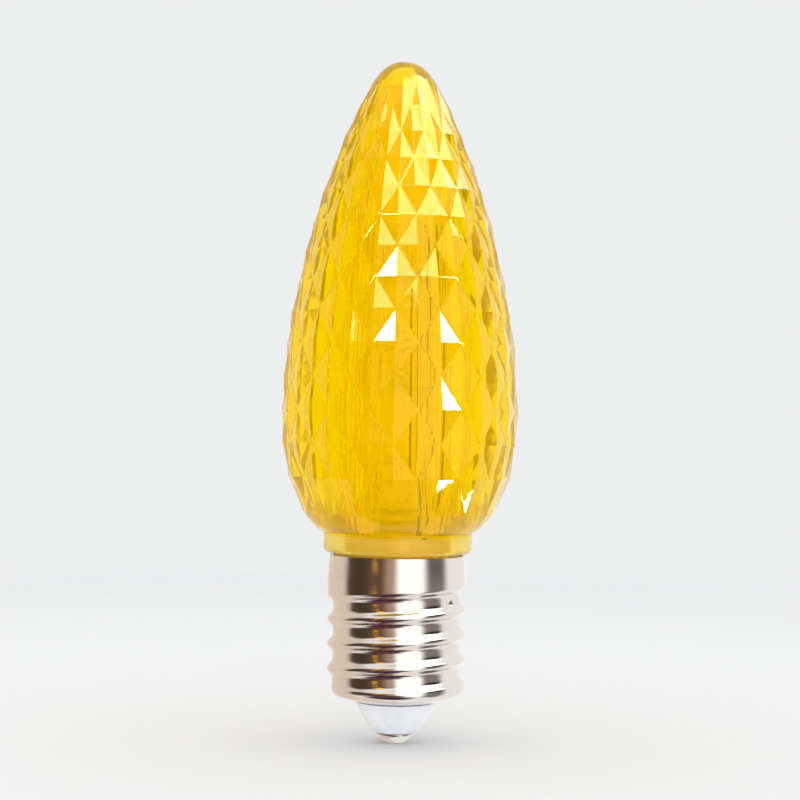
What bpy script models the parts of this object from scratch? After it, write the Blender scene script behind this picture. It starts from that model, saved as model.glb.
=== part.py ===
"""C9-size Christmas bulb with LEDs: a diamond-cut lens on an intermediate (E17) screw base.

Metres, +Z up. The origin is the middle of the end face of the centre contact and the bulb's
axis is Z, so the lens points up. Every solid keeps GAP to the solid that it touches.
"""

from math import atan2, cos, floor, pi, sin

import bmesh
import bpy
import numpy as np
from mathutils import Matrix, Vector

MM = 0.001
GAP = 0.3 * MM

# Lens, moulded in clear yellow polycarbonate
LENS_RADIUS = 14.3 * MM
LENS_BODY_HEIGHT = 42.4 * MM  # from the widest place to the tip
SHOULDER_HEIGHT = 14.45 * MM  # from the neck to the widest place
SHOULDER_FULLNESS = (2.5, 0.77)  # how soon the bowl turns upright, and how square it leaves the neck
NECK_OVERHANG = 0.7 * MM  # how far the neck stands out over the shell's collar
NECK_HEIGHT = 2.35 * MM
NECK_CHAMFER = 0.35 * MM
SPIGOT_PLAY = 0.1 * MM
SPIGOT_WALL = 1.05 * MM
SPIGOT_REST = 0.5 * MM  # between the spigot's end and the first turn of the thread
TIP_WALL = 1.9 * MM
BORE_NOSE = 50.0 * MM
BORE_FULLNESS = 2.6
TAPER = (  # share of the body's height, share of the lens radius
    (0.0, 1.0),
    (0.14, 0.978),
    (0.27, 0.932),
    (0.41, 0.845),
    (0.55, 0.745),
    (0.68, 0.617),
    (0.82, 0.452),
    (0.92, 0.302),
    (0.975, 0.185),
    (1.0, 0.0),
)

# Diamond cut outside, flutes inside
DIAMONDS_AROUND = 16
DIAMOND_ROWS = 14
DIAMOND_RELIEF = 0.3 * MM
CUT_FOOT = 2.6 * MM  # plain band between the neck and the first diamonds
CUT_HEAD = 2.9 * MM  # plain cap above the last diamonds
CUT_CLOSING = 0.106  # how much the rows close up towards the tip
CUT_EASING = 2.4  # and how late they do
CUT_TURN = -pi / 2 - 2.8 * pi / 180  # a column of diamond corners, just left of the front
FLUTES = 32
FLUTE_DEPTH = 0.3 * MM

# Screw shell, rolled from nickel-plated brass sheet
SHELL_WALL = 0.3 * MM
THREAD_RADIUS = 8.33 * MM
THREAD_DEPTH = 0.66 * MM
THREAD_PITCH = 2.96 * MM
THREAD_LENGTH = 12.2 * MM
THREAD_START = 7.32 * MM  # height of a crest on the +X side
COLLAR_HEIGHT = 3.6 * MM
COLLAR_STEP = 0.08 * MM  # how far the collar lies in from the thread's crests
SHOULDER_DROP = 1.8 * MM
FLOOR_INSET = 1.33 * MM
FLOOR_RISE = 0.7 * MM
HOLE_RADIUS = 4.85 * MM
SHELL_SIDES = 36
ROWS_PER_TURN = 6

# Insulator cone and centre contact
CONE_HEIGHT = 3.2 * MM
CONE_STEP = 0.05 * MM  # how far the cone lies in from the hole's edge
CONE_LIP = 0.3 * MM  # how far it stands out over the contact
CONE_BULGE = 0.75
RETAINER_INSET = 1.0 * MM
RETAINER_THICKNESS = 1.0 * MM
CONTACT_RADIUS = 2.3 * MM
CONTACT_FACE_RADIUS = 1.0 * MM
CONTACT_HEIGHT = 1.1 * MM
CONTACT_BULGE = 0.75
RIVET_RADIUS = 0.8 * MM
CLENCH_FLARE = 0.55 * MM
CLENCH_HEIGHT = 0.5 * MM
TIP_SOLDER_RADIUS = 1.1 * MM
TIP_SOLDER_HEIGHT = 0.7 * MM

# Board carrier in the neck
CARRIER_HEIGHT = 5.0 * MM
CARRIER_LIP = 0.9 * MM

# Circuit board and what it carries
BOARD_WIDTH = 7.0 * MM
BOARD_THICKNESS = 1.0 * MM
BOARD_MARGIN = 1.2 * MM  # above the last LED
BOARD_CORNER = 0.8 * MM
LEAD_ZONE = 1.3 * MM  # bare board below the capacitor, for the leads
PART_SPACE = 0.4 * MM  # between neighbours on the board
LED_COUNT = 5
LED_SIZE = 5.0 * MM
LED_HEIGHT = 1.5 * MM
LED_RIM = 0.5 * MM
LED_WINDOW_DEPTH = 0.35 * MM
LED_PITCH = 6.5 * MM
RECTIFIER_SIZE = (4.7 * MM, 1.9 * MM, 3.9 * MM)
RECTIFIER_PIN_WIDTH = 0.6 * MM
RECTIFIER_PIN_THICKNESS = 0.25 * MM
RECTIFIER_PIN_SPAN = 6.4 * MM
RECTIFIER_PIN_PITCH = 2.5 * MM
DROPPER_SIZE = (6.6 * MM, 3.2 * MM, 4.4 * MM)
DROPPER_PIN_PITCH = 4.6 * MM
DROPPER_PIN_RADIUS = 0.3 * MM
DROPPER_STANDOFF = 1.0 * MM
BLEEDER_SIZE = (3.2 * MM, 0.6 * MM, 1.6 * MM)
BLEEDER_RISE = 2.2 * MM
SMOOTHER_SIZE = (3.2 * MM, 1.4 * MM, 2.5 * MM)
RESISTOR_RADIUS = 1.15 * MM
RESISTOR_WAIST = 0.95 * MM
RESISTOR_LENGTH = 6.0 * MM
RESISTOR_PIN_RADIUS = 0.3 * MM
RESISTOR_PIN_LENGTH = 0.9 * MM

# Lead wires
LEAD_RADIUS = 0.4 * MM
LEAD_SPACING = 3.0 * MM
LEAD_RISE = 0.5 * MM  # above the board's lower edge
SHELL_JOINT_ANGLE = 3 * pi / 4
SHELL_JOINT_RADIUS = 0.9 * MM
SHELL_JOINT_HEIGHT = 0.5 * MM

# Radii, worked out from the thread inwards
collar_radius = THREAD_RADIUS - COLLAR_STEP
root_radius = THREAD_RADIUS - THREAD_DEPTH - SHELL_WALL
floor_radius = THREAD_RADIUS - FLOOR_INSET
retainer_radius = floor_radius - RETAINER_INSET
neck_radius = collar_radius + NECK_OVERHANG
spigot_radius = collar_radius - SHELL_WALL - GAP - SPIGOT_PLAY
bore_radius = spigot_radius - SPIGOT_WALL
cone_top_radius = HOLE_RADIUS - CONE_STEP
cone_tip_radius = CONTACT_RADIUS + CONE_LIP

# Heights, worked up from the contact's end face
cone_bottom = CONTACT_HEIGHT + GAP
shell_bottom = cone_bottom + CONE_HEIGHT + GAP
thread_bottom = shell_bottom + SHOULDER_DROP
thread_top = thread_bottom + THREAD_LENGTH
shell_top = thread_top + COLLAR_HEIGHT
neck_bottom = shell_top + GAP
neck_top = neck_bottom + NECK_HEIGHT
belly = neck_top + SHOULDER_HEIGHT
lens_top = belly + LENS_BODY_HEIGHT
bore_top = lens_top - TIP_WALL
spigot_bottom = thread_top + SPIGOT_REST
carrier_top = spigot_bottom + CARRIER_HEIGHT
carrier_bottom = spigot_bottom - GAP - CARRIER_LIP

# Places on the board: its back is stacked up from the carrier, and the LEDs follow on both sides
board_face = BOARD_THICKNESS / 2
board_bottom = carrier_bottom - GAP - DROPPER_SIZE[2] - LEAD_ZONE
resistor_reach = RESISTOR_LENGTH / 2 + RESISTOR_PIN_LENGTH
resistor_z = carrier_top + 2 * PART_SPACE + resistor_reach
smoother_z = resistor_z + resistor_reach + PART_SPACE + SMOOTHER_SIZE[2] / 2
first_led_z = smoother_z + SMOOTHER_SIZE[2] / 2 + PART_SPACE + LED_SIZE / 2 - LED_PITCH
board_top = first_led_z + (LED_COUNT - 1) * LED_PITCH + LED_SIZE / 2 + BOARD_MARGIN

parts = bpy.data.collections.new("christmas_bulb")
cutters = bpy.data.collections.new("cutters")


def clear_scene():
    for obj in list(bpy.data.objects):
        bpy.data.objects.remove(obj)
    for collection in (parts, cutters):
        bpy.context.scene.collection.children.link(collection)


def material(name, colour, roughness, metallic=0.0, alpha=1.0):
    made = bpy.data.materials.new(name)
    made.use_nodes = True
    shader = made.node_tree.nodes["Principled BSDF"]
    shader.inputs["Base Color"].default_value = (*colour, 1.0)
    shader.inputs["Roughness"].default_value = roughness
    shader.inputs["Metallic"].default_value = metallic
    shader.inputs["Alpha"].default_value = alpha
    return made


def linked(name, bm, finish, collection=parts):
    """The object that a bmesh becomes. A helper has no finish and stays out of the render."""
    mesh = bpy.data.meshes.new(name)
    bm.to_mesh(mesh)
    bm.free()
    obj = bpy.data.objects.new(name, mesh)
    collection.objects.link(obj)
    if finish:
        mesh.materials.append(finish)
    else:
        obj.hide_render = True
        obj.display_type = "WIRE"
    return obj


def cut(obj, cutter, operation="DIFFERENCE"):
    boolean = obj.modifiers.new(f"{operation.lower()} {cutter.name}", "BOOLEAN")
    boolean.operation = operation
    boolean.solver = "EXACT"
    boolean.object = cutter


def bevelled(obj, width):
    bevel = obj.modifiers.new("rounded edges", "BEVEL")
    bevel.width = width
    bevel.segments = 2
    bevel.limit_method = "ANGLE"


def polyline(bm, points, closed=False):
    verts = [bm.verts.new((radius, 0.0, height)) for radius, height in points]
    ends = verts[1:] + verts[:1] if closed else verts[1:]
    for first, second in zip(verts, ends):
        bm.edges.new((first, second))


def turned(name, profile, finish, closed=False, sides=32):
    """A profile of (radius, height) points, outer side top to bottom, turned round Z."""
    bm = bmesh.new()
    polyline(bm, profile, closed)
    obj = linked(name, bm, finish)
    screw = obj.modifiers.new("turn", "SCREW")
    screw.steps = sides
    screw.render_steps = sides
    screw.use_merge_vertices = True
    screw.merge_threshold = 0.001 * MM
    screw.use_smooth_shade = True
    return obj


def spun(profile, sides):
    """A closed bmesh: the profile turned round Z, so that its rings can then be shaped."""
    bm = bmesh.new()
    polyline(bm, profile)
    bmesh.ops.spin(
        bm,
        geom=bm.verts[:] + bm.edges[:],
        cent=(0.0, 0.0, 0.0),
        axis=(0.0, 0.0, 1.0),
        angle=2 * pi,
        steps=sides,
        use_merge=True,
    )
    bmesh.ops.remove_doubles(bm, verts=bm.verts, dist=0.001 * MM)
    bmesh.ops.recalc_face_normals(bm, faces=bm.faces)
    return bm


def move_to_radius(vert, radius):
    angle = atan2(vert.co.y, vert.co.x)
    vert.co.x = radius * cos(angle)
    vert.co.y = radius * sin(angle)


def block(name, size, centre, finish, collection=parts):
    bm = bmesh.new()
    bmesh.ops.create_cube(bm, size=1.0, matrix=Matrix.Diagonal((*size, 1.0)))
    obj = linked(name, bm, finish, collection)
    obj.location = centre
    return obj


def rod(name, radius, length, centre, axis, sides=12):
    """A round helper of this length, centred on a point and lying along an axis."""
    bm = bmesh.new()
    bmesh.ops.create_cone(bm, cap_ends=True, segments=sides, radius1=radius, radius2=radius, depth=length)
    obj = linked(name, bm, None, cutters)
    obj.location = centre
    obj.rotation_euler = Vector(axis).to_track_quat("Z", "Y").to_euler()
    return obj


def wire(name, points, finish):
    curve = bpy.data.curves.new(name, "CURVE")
    curve.dimensions = "3D"
    curve.bevel_depth = LEAD_RADIUS
    curve.bevel_resolution = 2
    curve.use_fill_caps = True
    spline = curve.splines.new("POLY")
    spline.points.add(len(points) - 1)
    for point, place in zip(spline.points, points):
        point.co = (*place, 1.0)
    curve.materials.append(finish)
    obj = bpy.data.objects.new(name, curve)
    parts.objects.link(obj)
    return obj


def route(places, steps=12):
    """Points along a smooth bend through four places."""
    start, out, back, end = (Vector(place) for place in places)
    made = []
    for step in range(steps + 1):
        t = step / steps
        s = 1 - t
        made.append(s**3 * start + 3 * s * s * t * out + 3 * s * t * t * back + t**3 * end)
    return made


def smooth_through(points, x):
    """The height at x of a smooth curve through (x, y) points."""
    xs, ys = np.transpose(points)
    slopes = np.gradient(ys, xs)
    i = min(int(np.searchsorted(xs, x, side="right")), len(xs) - 1)
    span = xs[i] - xs[i - 1]
    t = (x - xs[i - 1]) / span
    rise = (2 * t**3 - 3 * t**2 + 1) * ys[i - 1] + (3 * t**2 - 2 * t**3) * ys[i]
    bend = (t**3 - 2 * t**2 + t) * slopes[i - 1] + (t**3 - t**2) * slopes[i]
    return float(rise + bend * span)


def lens_radius(z):
    """The lens outline: a bowl-shaped shoulder up to the belly, then the long taper to the tip."""
    if z <= belly:
        turning, squareness = SHOULDER_FULLNESS
        swell = (1 - (1 - (z - neck_top) / SHOULDER_HEIGHT) ** turning) ** squareness
        return neck_radius + (LENS_RADIUS - neck_radius) * swell
    squares = [(height, radius**2) for height, radius in TAPER]
    share = smooth_through(squares, (z - belly) / LENS_BODY_HEIGHT)
    return LENS_RADIUS * max(share, 0.0) ** 0.5


def cut_row(row):
    """Height of a row of diamond corners. The rows close up towards the tip."""
    foot = neck_top + CUT_FOOT
    share = row / DIAMOND_ROWS
    return foot + (lens_top - CUT_HEAD - foot) * (share + CUT_CLOSING * (share - share**CUT_EASING))


def outer_lens():
    """The diamond-cut body. Corners of the diamonds lie in, their middles stand out."""
    rows = [cut_row(row) for row in range(DIAMOND_ROWS + 1)]
    cap = [lens_top - CUT_HEAD * (1 - cos(step * pi / 10)) ** 1.1 for step in range(1, 5)]
    shoulder = [neck_top + CUT_FOOT * share for share in (0.66, 0.33, 0.12)]
    heights = cap + rows[::-1] + shoulder
    profile = [(0.0, lens_top)]
    profile += [(lens_radius(z), z) for z in heights]
    profile += [
        (neck_radius, neck_top),
        (neck_radius, neck_bottom + NECK_CHAMFER),
        (neck_radius - NECK_CHAMFER, neck_bottom),
        (spigot_radius, neck_bottom),
        (spigot_radius, spigot_bottom),
        (0.0, spigot_bottom),
    ]
    slots = 2 * DIAMONDS_AROUND
    bm = spun(profile, slots)
    bmesh.ops.rotate(bm, verts=bm.verts, matrix=Matrix.Rotation(CUT_TURN, 3, "Z"))
    for face in bm.faces:
        face.smooth = not rows[0] < face.calc_center_median().z < rows[-1]
    corners = []
    for vert in bm.verts:
        for row, z in enumerate(rows):
            slot = round((atan2(vert.co.y, vert.co.x) - CUT_TURN) * slots / (2 * pi))
            if abs(vert.co.z - z) < 0.01 * MM and (slot + row) % 2 == 0:
                corners.append(vert)
                if 0 < row < DIAMOND_ROWS:
                    move_to_radius(vert, lens_radius(z) - DIAMOND_RELIEF)
    bmesh.ops.connect_verts(bm, verts=corners)
    return bm


def bore_at(z):
    """The bore's radius: the moulding's core tapers so that it draws out through the neck."""
    nose = max(0.0, (z - bore_top + BORE_NOSE) / BORE_NOSE)
    return bore_radius * max(1 - nose**BORE_FULLNESS, 0.0) ** 0.5


def lens_core():
    """The core that leaves the bore, with flutes that run up from the neck and fade at the nose."""
    bottom = spigot_bottom - NECK_HEIGHT
    fluted_from = neck_top + CUT_FOOT
    straight = bore_top - BORE_NOSE
    plain = [bottom, neck_top, fluted_from]
    nose = [straight + BORE_NOSE * share for share in (0.25, 0.45, 0.63, 0.77, 0.87, 0.94, 0.98)]
    profile = [(0.0, bore_top)]
    profile += [(bore_at(z), z) for z in nose[::-1] + plain[::-1]]
    profile += [(0.0, bottom)]
    bm = spun(profile, 2 * FLUTES)
    for vert in bm.verts:
        slot = round(atan2(vert.co.y, vert.co.x) * FLUTES / pi)
        if slot % 2 and vert.co.z > fluted_from + 0.01 * MM and vert.co.z < bore_top - 0.01 * MM:
            radius = bore_at(vert.co.z)
            move_to_radius(vert, radius - FLUTE_DEPTH * radius / bore_radius)
    return bm


def build_lens():
    clear_yellow = material("clear yellow polycarbonate", (1.0, 0.58, 0.0), 0.08, alpha=0.6)
    lens = linked("lens", outer_lens(), clear_yellow)
    cut(lens, linked("lens_core", lens_core(), None, cutters))


def thread_depth_at(angle, z):
    """How far the shell lies in from its crests: a rounded right-hand thread that runs out at its ends."""
    turned_by = angle / (2 * pi)
    turn = (z - THREAD_START) / THREAD_PITCH - turned_by
    root = THREAD_START + THREAD_PITCH * (floor(turn) + 0.5 + turned_by)
    fade = THREAD_PITCH / 3
    from_ends = min(thread_top - root, root - thread_bottom + fade / 3)
    strength = min(max(from_ends / fade, 0.0), 1.0)
    return THREAD_DEPTH * (0.5 - 0.5 * cos(2 * pi * turn)) * strength


def shell_profile():
    """The pressed blank, from the rim down: collar, threaded wall, shoulder and floor."""
    turns = round(THREAD_LENGTH / THREAD_PITCH * ROWS_PER_TURN)
    wall = [thread_top - THREAD_LENGTH * row / turns for row in range(turns + 1)]
    profile = [
        (collar_radius - COLLAR_STEP, shell_top),
        (collar_radius, shell_top - COLLAR_HEIGHT * 0.2),
        (collar_radius + COLLAR_STEP / 2, shell_top - COLLAR_HEIGHT * 0.55),
        (collar_radius, thread_top + COLLAR_HEIGHT * 0.1),
    ]
    profile += [(THREAD_RADIUS, z) for z in wall]
    reach = THREAD_RADIUS - floor_radius
    drop = SHOULDER_DROP - FLOOR_RISE
    for step in (1, 2, 3):
        angle = step * pi / 6
        profile.append((floor_radius + reach * cos(angle), thread_bottom - drop * sin(angle)))
    profile.append((HOLE_RADIUS, shell_bottom))
    return profile


def shell_floor(radius):
    """Height of the shell's conical floor, outside, at a radius."""
    return shell_bottom + FLOOR_RISE * (radius - HOLE_RADIUS) / (floor_radius - HOLE_RADIUS)


def build_shell():
    nickel = material("nickel-plated brass", (0.78, 0.75, 0.72), 0.16, metallic=1.0)
    bm = spun(shell_profile(), SHELL_SIDES)
    for vert in bm.verts:
        radius = vert.co.to_2d().length
        if radius > floor_radius + 0.01 * MM and vert.co.z < thread_top + 0.01 * MM:
            depth = thread_depth_at(atan2(vert.co.y, vert.co.x), max(vert.co.z, thread_bottom))
            move_to_radius(vert, radius - depth * (radius - floor_radius) / (THREAD_RADIUS - floor_radius))
    shell = linked("screw_shell", bm, nickel)
    shell.data.shade_smooth()
    wall = shell.modifiers.new("sheet", "SOLIDIFY")
    wall.thickness = SHELL_WALL
    wall.offset = -1.0


def build_insulator():
    white = material("white moulded plastic", (0.86, 0.88, 0.92), 0.18)
    rivet_hole = RIVET_RADIUS + GAP
    throat = HOLE_RADIUS - GAP
    cone_top = cone_bottom + CONE_HEIGHT
    retainer_top = insulator_top()
    swell = cone_top_radius - cone_tip_radius
    profile = [
        (rivet_hole, retainer_top),
        (retainer_radius, retainer_top),
        (retainer_radius, shell_floor(retainer_radius) + SHELL_WALL + GAP),
        (throat, shell_floor(throat) + SHELL_WALL + GAP),
        (throat, cone_top),
    ]
    for share in (1.0, 0.8, 0.6, 0.4, 0.22, 0.08, 0.0):
        profile.append((cone_tip_radius + swell * share**CONE_BULGE, cone_bottom + CONE_HEIGHT * share))
    profile.append((rivet_hole, cone_bottom))
    turned("tip_insulator", profile, white, closed=True)


def insulator_top():
    return shell_floor(retainer_radius) + SHELL_WALL + GAP + RETAINER_THICKNESS


def build_contact():
    nickel = material("nickel-plated contact", (0.80, 0.77, 0.74), 0.18, metallic=1.0)
    clench_bottom = insulator_top() + GAP
    clench_top = clench_bottom + CLENCH_HEIGHT
    clench_radius = RIVET_RADIUS + CLENCH_FLARE
    rim = CONTACT_RADIUS - CONTACT_FACE_RADIUS
    profile = [
        (0.0, clench_top),
        (clench_radius, clench_top),
        (clench_radius, clench_bottom),
        (RIVET_RADIUS, clench_bottom),
        (RIVET_RADIUS, CONTACT_HEIGHT),
    ]
    for share in (1.0, 0.55, 0.25, 0.08, 0.0):
        profile.append((CONTACT_FACE_RADIUS + rim * share**CONTACT_BULGE, CONTACT_HEIGHT * share))
    profile.append((0.0, 0.0))
    turned("centre_contact", profile, nickel)
    return clench_top


def build_tip_solder(clench_top):
    """The blob that joins the tip lead to the rivet's clenched end. Gives its top."""
    solder = material("solder", (0.70, 0.71, 0.73), 0.25, metallic=1.0)
    base = clench_top + GAP
    profile = []
    for step in range(5):
        angle = step * pi / 8
        profile.append((TIP_SOLDER_RADIUS * sin(angle), base + TIP_SOLDER_HEIGHT * cos(angle)))
    profile.append((0.0, base))
    turned("tip_solder", profile, solder, sides=20)
    return base + TIP_SOLDER_HEIGHT


def build_carrier():
    """The plug that stops the neck. Its lip lies under the spigot and its slot grips the board."""
    cream = material("cream moulded plastic", (0.82, 0.78, 0.68), 0.4)
    body = bore_radius - GAP
    lip = root_radius - GAP
    chamfer = CARRIER_LIP / 3
    profile = [
        (0.0, carrier_top),
        (body - chamfer, carrier_top),
        (body, carrier_top - chamfer),
        (body, spigot_bottom - GAP),
        (lip, spigot_bottom - GAP),
        (lip, carrier_bottom),
        (0.0, carrier_bottom),
    ]
    carrier = turned("board_carrier", profile, cream)
    through = 2 * (carrier_top - carrier_bottom)
    slot_size = (BOARD_WIDTH + 2 * GAP, BOARD_THICKNESS + 2 * GAP, through)
    middle = (0.0, 0.0, (carrier_top + carrier_bottom) / 2)
    cut(carrier, block("carrier_slot", slot_size, middle, None, cutters))


def build_board():
    white_mask = material("white-masked board", (0.85, 0.87, 0.83), 0.35)
    length = board_top - board_bottom
    centre = (0.0, 0.0, (board_top + board_bottom) / 2)
    board = block("circuit_board", (BOARD_WIDTH, BOARD_THICKNESS, length), centre, white_mask)
    for side in (-1, 1):
        corner = (side * BOARD_WIDTH / 2, 0.0, board_top)
        cut(board, rod(f"board_corner_{side}", BOARD_CORNER, 2 * BOARD_THICKNESS, corner, (0, 1, 0), 4))


def on_board(size, side, z):
    """Centre of a component of this size, on the front (-1) or the back (1) of the board."""
    return Vector((0.0, side * (board_face + GAP + size[1] / 2), z))


def build_leds():
    package = material("LED package", (0.88, 0.86, 0.70), 0.3)
    size = (LED_SIZE, LED_HEIGHT, LED_SIZE)
    for number in range(LED_COUNT):
        side = -1 if number % 2 == 0 else 1
        centre = on_board(size, side, first_led_z + number * LED_PITCH)
        led = block(f"led_{number + 1}", size, centre, package)
        bevelled(led, 0.04 * LED_SIZE)
        face = centre + Vector((0.0, side * LED_HEIGHT / 2, 0.0))
        depth = 2 * LED_WINDOW_DEPTH
        cut(led, rod(f"led_window_{number + 1}", LED_SIZE / 2 - LED_RIM, depth, face, (0, 1, 0), 20))


def build_rectifier():
    """Bridge rectifier on the front of the board's tail: a moulded body with two pins a side."""
    black = material("black epoxy", (0.03, 0.03, 0.03), 0.45)
    centre = on_board(RECTIFIER_SIZE, -1, carrier_bottom - GAP - RECTIFIER_SIZE[2] / 2)
    centre.y -= RECTIFIER_PIN_THICKNESS
    body = block("bridge_rectifier", RECTIFIER_SIZE, centre, black)
    pin_size = (RECTIFIER_PIN_SPAN, 2 * RECTIFIER_PIN_THICKNESS, RECTIFIER_PIN_WIDTH)
    for level in (-0.5, 0.5):
        place = centre + Vector((0.0, RECTIFIER_SIZE[1] / 2, level * RECTIFIER_PIN_PITCH))
        cut(body, block(f"rectifier_pins_{level}", pin_size, place, None, cutters), "UNION")


def build_dropper():
    """Film capacitor that drops the mains voltage, on two pins off the back of the board's tail."""
    red = material("dipped film capacitor", (0.45, 0.05, 0.03), 0.3)
    centre = on_board(DROPPER_SIZE, 1, carrier_bottom - GAP - DROPPER_SIZE[2] / 2)
    centre.y += DROPPER_STANDOFF - GAP
    body = block("film_capacitor", DROPPER_SIZE, centre, red)
    reach = 2 * (DROPPER_STANDOFF - GAP)
    for side in (-0.5, 0.5):
        root = Vector((side * DROPPER_PIN_PITCH, board_face + DROPPER_STANDOFF, centre.z))
        pin = rod(f"capacitor_pin_{side}", DROPPER_PIN_RADIUS, reach, root, (0, 1, 0), 8)
        cut(body, pin, "UNION")


def build_small_chips():
    chip_grey = material("chip resistor", (0.06, 0.06, 0.07), 0.35)
    chip_tan = material("chip capacitor", (0.42, 0.30, 0.18), 0.4)
    front = on_board(BLEEDER_SIZE, -1, carrier_top + BLEEDER_RISE)
    bleeder = block("bleed_resistor", BLEEDER_SIZE, front, chip_grey)
    bevelled(bleeder, 0.1 * BLEEDER_SIZE[1])
    back = on_board(SMOOTHER_SIZE, 1, smoother_z)
    smoother = block("smoothing_capacitor", SMOOTHER_SIZE, back, chip_tan)
    bevelled(smoother, 0.1 * SMOOTHER_SIZE[1])


def build_inrush_resistor():
    """Axial resistor that lies up the back of the board: two capped ends, a waist and two pins."""
    tan = material("axial resistor", (0.55, 0.42, 0.28), 0.4)
    half = RESISTOR_LENGTH / 2
    cap = RESISTOR_LENGTH / 5
    upper = [
        (0.0, resistor_reach),
        (RESISTOR_PIN_RADIUS, resistor_reach),
        (RESISTOR_PIN_RADIUS, half),
        (RESISTOR_RADIUS * 0.8, half),
        (RESISTOR_RADIUS, half - cap / 3),
        (RESISTOR_RADIUS, half - cap),
        (RESISTOR_WAIST, half - 1.3 * cap),
    ]
    profile = upper + [(radius, -height) for radius, height in upper[::-1]]
    resistor = turned("inrush_resistor", profile, tan, sides=20)
    resistor.location = (0.0, board_face + GAP + RESISTOR_RADIUS, resistor_z)


def build_leads(solder_top):
    """Two insulated leads from the board's tail: one to the tip, one to the shell's wall."""
    white_sleeve = material("white lead", (0.80, 0.80, 0.78), 0.45)
    red_sleeve = material("red lead", (0.55, 0.04, 0.03), 0.45)
    pad_y = board_face + GAP + LEAD_RADIUS
    pad_z = board_bottom + LEAD_RISE
    tip_end = Vector((0.0, 0.0, solder_top + GAP))
    tip_pad = Vector((LEAD_SPACING / 2, pad_y, pad_z))
    drop = Vector((0.0, 0.0, (pad_z - tip_end.z) / 2))
    wire("tip_lead", route((tip_pad, tip_pad - drop, tip_end + drop, tip_end)), white_sleeve)

    out = Vector((cos(SHELL_JOINT_ANGLE), sin(SHELL_JOINT_ANGLE), 0.0))
    joint_z = pad_z - LEAD_RADIUS
    wall = THREAD_RADIUS - thread_depth_at(SHELL_JOINT_ANGLE, joint_z) - SHELL_WALL
    joint = out * (wall - GAP - SHELL_JOINT_HEIGHT / 2) + Vector((0.0, 0.0, joint_z))
    shell_end = joint - out * (SHELL_JOINT_HEIGHT / 2 + GAP)
    shell_pad = Vector((-LEAD_SPACING / 2, pad_y, pad_z))
    reach = Vector((shell_end.x - shell_pad.x, shell_end.y - shell_pad.y, 0.0)) / 2
    wire("shell_lead", route((shell_pad, shell_pad + reach / 2, shell_end - reach, shell_end)), red_sleeve)

    solder = bpy.data.materials["solder"]
    rim = SHELL_JOINT_RADIUS / 3
    profile = [
        (0.0, SHELL_JOINT_HEIGHT / 2),
        (SHELL_JOINT_RADIUS - rim, SHELL_JOINT_HEIGHT / 2),
        (SHELL_JOINT_RADIUS, 0.0),
        (SHELL_JOINT_RADIUS - rim, -SHELL_JOINT_HEIGHT / 2),
        (0.0, -SHELL_JOINT_HEIGHT / 2),
    ]
    blob = turned("shell_solder", profile, solder, sides=16)
    blob.location = joint
    blob.rotation_euler = out.to_track_quat("Z", "Y").to_euler()


clear_scene()
build_lens()
build_shell()
build_insulator()
solder_top = build_tip_solder(build_contact())
build_carrier()
build_board()
build_leds()
build_rectifier()
build_dropper()
build_small_chips()
build_inrush_resistor()
build_leads(solder_top)
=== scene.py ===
"""Christmas light bulb with LEDs: the looks of a diamond-cut yellow lens on a plated screw shell."""

from math import atan2, cos, exp, floor, pi, radians, sin, tan

import bmesh
import bpy
from mathutils import Matrix, Vector


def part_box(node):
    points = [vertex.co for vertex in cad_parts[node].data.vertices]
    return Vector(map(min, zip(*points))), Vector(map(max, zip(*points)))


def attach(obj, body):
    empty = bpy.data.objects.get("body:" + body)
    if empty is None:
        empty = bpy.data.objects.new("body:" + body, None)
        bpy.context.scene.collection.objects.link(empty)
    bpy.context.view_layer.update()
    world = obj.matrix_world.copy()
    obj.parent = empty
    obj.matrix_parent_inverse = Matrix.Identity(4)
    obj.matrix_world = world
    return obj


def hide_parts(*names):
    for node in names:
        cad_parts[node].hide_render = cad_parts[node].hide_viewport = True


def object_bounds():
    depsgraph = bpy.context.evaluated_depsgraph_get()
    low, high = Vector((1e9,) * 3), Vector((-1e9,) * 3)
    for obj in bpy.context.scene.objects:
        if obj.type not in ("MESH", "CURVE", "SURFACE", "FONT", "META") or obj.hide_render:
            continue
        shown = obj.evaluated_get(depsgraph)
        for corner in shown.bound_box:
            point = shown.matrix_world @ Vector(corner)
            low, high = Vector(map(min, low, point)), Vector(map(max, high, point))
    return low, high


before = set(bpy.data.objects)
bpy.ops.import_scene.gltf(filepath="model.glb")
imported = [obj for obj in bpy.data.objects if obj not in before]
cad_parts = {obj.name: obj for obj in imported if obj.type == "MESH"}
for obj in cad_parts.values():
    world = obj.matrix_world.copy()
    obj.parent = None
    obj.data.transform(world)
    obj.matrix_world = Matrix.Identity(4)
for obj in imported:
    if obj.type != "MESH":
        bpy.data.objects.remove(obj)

MM = 0.001
cad_low, cad_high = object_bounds()
scene = bpy.context.scene
scene.view_settings.view_transform = "Standard"


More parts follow.
